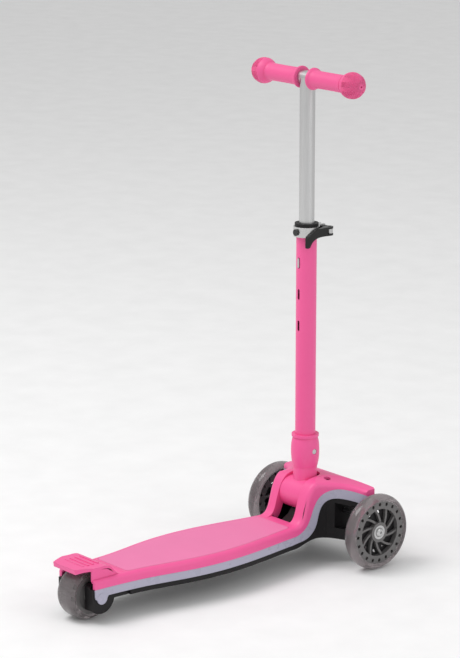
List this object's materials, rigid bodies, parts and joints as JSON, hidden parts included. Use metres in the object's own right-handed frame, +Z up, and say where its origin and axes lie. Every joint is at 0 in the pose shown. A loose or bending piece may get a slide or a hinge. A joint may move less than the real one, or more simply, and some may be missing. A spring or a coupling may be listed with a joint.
{
  "type": "kick scooter",
  "caption": "Folding three-wheeled child's kick scooter with lean steering, lit deck edges, step-on rear brake and a T-bar that adjusts in height.",
  "frame": {"origin": "on the ground, in the middle of the length over the wheels, on the centre plane", "axes": "+Y the way it rides, +X its right side, +Z up"},
  "size_m": [0.2554, 0.585, 0.7864],
  "materials": {
    "pink_shell": "satin",
    "tread_rubber": "matte, grained",
    "strip_lens": "translucent, smooth",
    "circuit_board": "matte",
    "black_plastic": "fine grain",
    "black_gloss": "satin",
    "pink_paint": "satin paint",
    "grip_rubber": "matte",
    "silver_tube": "satin anodised",
    "steel": "machined",
    "black_steel": "satin black",
    "wheel_core": "smoky",
    "wheel_tyre": "smoky translucent",
    "cell_wrap": "printed sleeve",
    "pad_rubber": "matte"
  },
  "bodies": {
    "deck": {"deck_shell": "pink_shell", "tread_panel": "tread_rubber", "light_strip_left": "strip_lens", "light_strip_right": "strip_lens", "light_boards": "circuit_board", "undertray": "black_plastic", "case_screws": "steel", "battery_box": "black_plastic", "battery_cells": "cell_wrap", "battery_cover": "black_plastic", "truck_housing": "black_plastic", "truck_cover": "black_plastic", "truck_screws": "steel", "kingpins": "steel", "centering_bushes": "pad_rubber", "rear_fork": "black_plastic", "rear_axle_bolt": "black_steel", "rear_axle_nut": "steel", "rear_axle_spacers": "steel", "pedal_pin": "steel", "pedal_spring": "steel", "fold_pin": "steel"},
    "latch": {"fold_latch": "black_plastic"},
    "column": {"column_foot": "pink_shell", "fold_bushes": "black_plastic", "collar": "pink_shell", "collar_screws": "steel", "outer_tube": "pink_paint", "clamp_sleeve": "black_plastic", "clamp_band": "silver_tube", "clamp_screw": "black_steel", "clamp_saddle": "black_plastic", "clamp_bolt": "steel", "clamp_nut": "steel", "lever_pin": "steel"},
    "lever": {"clamp_lever": "black_gloss"},
    "handle": {"inner_tube": "silver_tube", "post_bush": "black_plastic", "crossbar": "silver_tube", "grip_left": "grip_rubber", "grip_right": "grip_rubber"},
    "snap_button": {"snap_clip": "steel"},
    "knuckle_left": {"knuckle_left": "black_plastic", "front_axle_bolt_left": "steel"},
    "knuckle_right": {"knuckle_right": "black_plastic", "front_axle_bolt_right": "steel"},
    "tie_rod": {"tie_rod": "black_steel", "tie_pins": "steel"},
    "front_wheel_left": {"front_core_left": "wheel_core", "front_tyre_left": "wheel_tyre", "front_bearings_left": "steel"},
    "front_wheel_right": {"front_core_right": "wheel_core", "front_tyre_right": "wheel_tyre", "front_bearings_right": "steel"},
    "rear_wheel": {"rear_core": "wheel_core", "rear_tyre": "wheel_tyre", "rear_bearings": "steel"},
    "pedal": {"brake_pedal": "pink_shell", "brake_pad": "pad_rubber"}
  },
  "joints": [
    {"name": "column_fold", "type": "hinge", "parent": "deck", "child": "column", "pos_m": [0, 0.1785, 0.106], "axis": [1, 0, 0], "range_deg": [0, 90]},
    {"name": "latch_press", "type": "hinge", "parent": "deck", "child": "latch", "pos_m": [0, 0.12, 0.056], "axis": [1, 0, 0], "range_deg": [-6, 0], "stiffness_Nm_per_rad": 8, "springref_deg": 2.86, "deforming": ["fold_latch"]},
    {"name": "lever_swing", "type": "hinge", "parent": "column", "child": "lever", "pos_m": [0.023, 0.2135, 0.528], "axis": [0, 0, 1], "range_deg": [0, 120]},
    {"name": "handle_height", "type": "slide", "parent": "column", "child": "handle", "axis": [0, 0, 1], "range_m": [-0.1, 0]},
    {"name": "button_press", "type": "slide", "parent": "handle", "child": "snap_button", "axis": [0, 1, 0], "range_m": [0, 0.003], "stiffness_N_per_m": 2000, "springref_m": -0.001, "deforming": ["snap_clip"]},
    {"name": "steer_left", "type": "hinge", "parent": "deck", "child": "knuckle_left", "pos_m": [-0.078, 0.2325, 0.072], "axis": [0, 0.2588, 0.9659], "range_deg": [-12, 12], "stiffness_Nm_per_rad": 6, "deforming": ["centering_bushes"]},
    {"name": "steer_right", "type": "hinge", "parent": "deck", "child": "knuckle_right", "pos_m": [0.078, 0.2325, 0.072], "axis": [0, 0.2588, 0.9659], "range_deg": [-12, 12]},
    {"name": "tie_rod_swing", "type": "hinge", "parent": "knuckle_left", "child": "tie_rod", "pos_m": [-0.078, 0.21893, 0.08319], "axis": [0, 0.2588, 0.9659], "range_deg": [-12, 12]},
    {"name": "front_spin_left", "type": "hinge", "parent": "knuckle_left", "child": "front_wheel_left", "pos_m": [-0.1157, 0.2325, 0.06], "axis": [1, 0, 0], "continuous": true},
    {"name": "front_spin_right", "type": "hinge", "parent": "knuckle_right", "child": "front_wheel_right", "pos_m": [0.1157, 0.2325, 0.06], "axis": [1, 0, 0], "continuous": true},
    {"name": "rear_spin", "type": "hinge", "parent": "deck", "child": "rear_wheel", "pos_m": [0, -0.2525, 0.04], "axis": [1, 0, 0], "continuous": true},
    {"name": "brake_press", "type": "hinge", "parent": "deck", "child": "pedal", "pos_m": [0, -0.2135, 0.063], "axis": [1, 0, 0], "range_deg": [0, 2.4], "stiffness_Nm_per_rad": 4, "springref_deg": -2.86, "deforming": ["pedal_spring"]}
  ],
  "couplings": [
    {"joint": "steer_right", "follows": "steer_left", "ratio": 1},
    {"joint": "tie_rod_swing", "follows": "steer_left", "ratio": -1}
  ]
}
